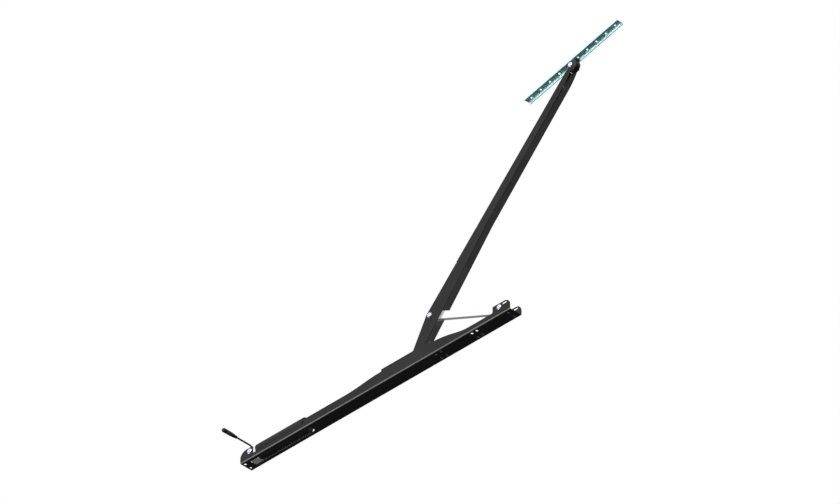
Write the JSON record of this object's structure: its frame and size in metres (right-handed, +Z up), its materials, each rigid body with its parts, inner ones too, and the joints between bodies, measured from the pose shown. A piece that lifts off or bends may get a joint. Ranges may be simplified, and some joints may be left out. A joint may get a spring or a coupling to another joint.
{
  "type": "door lift arm",
  "caption": "Gas-spring lift arm for an up-and-over door: a sprung carriage runs in a channel and raises a bent arm against a link; a drilled rail at the tip takes the door.",
  "frame": {"origin": "middle of the channel's underside, halfway along its length and across its width", "axes": "+X along the channel from the gas spring towards the ears that hold the link, +Y away from the release lever, +Z up out of the channel"},
  "size_m": [1.9546, 0.2068, 1.0497],
  "materials": {
    "black_paint": "satin black powder coat on folded steel, finely textured",
    "grey_paint": "dark grey painted steel",
    "zinc": "bright bluish zinc-plated steel",
    "galvanised": "galvanised steel strip, pale with a faint green cast",
    "aluminium": "plain satin aluminium",
    "bright_steel": "bright plated steel rod",
    "nylon": "black moulded nylon",
    "rubber": "matte black rubber",
    "bronze": "sintered bronze bush"
  },
  "bodies": {
    "base": {"base_channel": "black_paint", "cylinder_tube": "black_paint", "cylinder_rear_cap": "aluminium", "rod_gland": "black_paint", "rod_wiper": "rubber", "end_fitting": "aluminium", "anchor_bolt": "zinc", "anchor_washer_near": "nylon", "anchor_washer_far": "nylon", "anchor_nut": "zinc", "ear_bolt": "zinc", "ear_washer_near": "nylon", "ear_washer_far": "nylon", "ear_nut": "zinc", "ear_sleeve_far": "zinc", "ear_sleeve_near": "zinc"},
    "plunger": {"release_plunger": "bright_steel"},
    "lever": {"lever_rod": "black_paint", "lever_grip": "rubber", "lever_cam": "zinc"},
    "carriage": {"carriage_axle": "bright_steel", "rod_eye": "aluminium", "rod_eye_bush": "bronze", "piston_rod": "bright_steel", "piston": "aluminium", "piston_seal": "rubber", "rod_lock_nut": "zinc"},
    "rollers": {"track_roller_far": "nylon", "track_roller_near": "nylon"},
    "arm": {"arm_channel": "black_paint", "knee_bolt": "zinc", "knee_washer_near": "nylon", "knee_washer_far": "nylon", "knee_nut": "zinc", "knee_disc_far": "nylon", "knee_disc_near": "nylon", "flange_plug": "nylon", "tip_bolt": "zinc", "tip_washer_near": "nylon", "tip_washer_far": "nylon", "tip_nut": "zinc"},
    "link": {"link_bar": "aluminium", "link_bush": "bronze"},
    "rail": {"door_rail": "galvanised", "rail_bracket": "grey_paint", "bracket_bush": "bronze", "bracket_screw_1": "zinc", "bracket_screw_2": "zinc"}
  },
  "joints": [
    {"name": "arm_lift", "type": "hinge", "parent": "carriage", "child": "arm", "pos_m": [0.1813, 0, 0.0325], "axis": [0, -1, 0], "range_deg": [-46, 6]},
    {"name": "carriage_slide", "type": "slide", "parent": "base", "child": "carriage", "axis": [1, 0, 0], "range_m": [-0.132, 0.018]},
    {"name": "link_swing", "type": "hinge", "parent": "base", "child": "link", "pos_m": [0.651, 0, 0.0325], "axis": [0, 1, 0], "range_deg": [-15.6, 2.3]},
    {"name": "roller_spin", "type": "hinge", "parent": "carriage", "child": "rollers", "pos_m": [0.1813, 0, 0.0325], "axis": [0, 1, 0], "range_deg": [-254, 35]},
    {"name": "rail_tilt", "type": "hinge", "parent": "arm", "child": "rail", "pos_m": [1.0075, 0, 0.9595], "axis": [0, -1, 0], "range_deg": [-75, 32]},
    {"name": "lever_turn", "type": "hinge", "parent": "base", "child": "lever", "pos_m": [-0.6635, -0.013, 0], "axis": [0, 0, 1], "range_deg": [0, 25], "stiffness_Nm_per_rad": 0.6},
    {"name": "plunger_slide", "type": "slide", "parent": "base", "child": "plunger", "axis": [1, 0, 0], "range_m": [0, 0.0016]}
  ],
  "couplings": [
    {"joint": "carriage_slide", "follows": "arm_lift", "m_per_rad": 0.1594},
    {"joint": "link_swing", "follows": "arm_lift", "ratio": 0.337},
    {"joint": "roller_spin", "follows": "arm_lift", "ratio": 5.367},
    {"joint": "plunger_slide", "follows": "lever_turn", "m_per_rad": 0.0035}
  ]
}
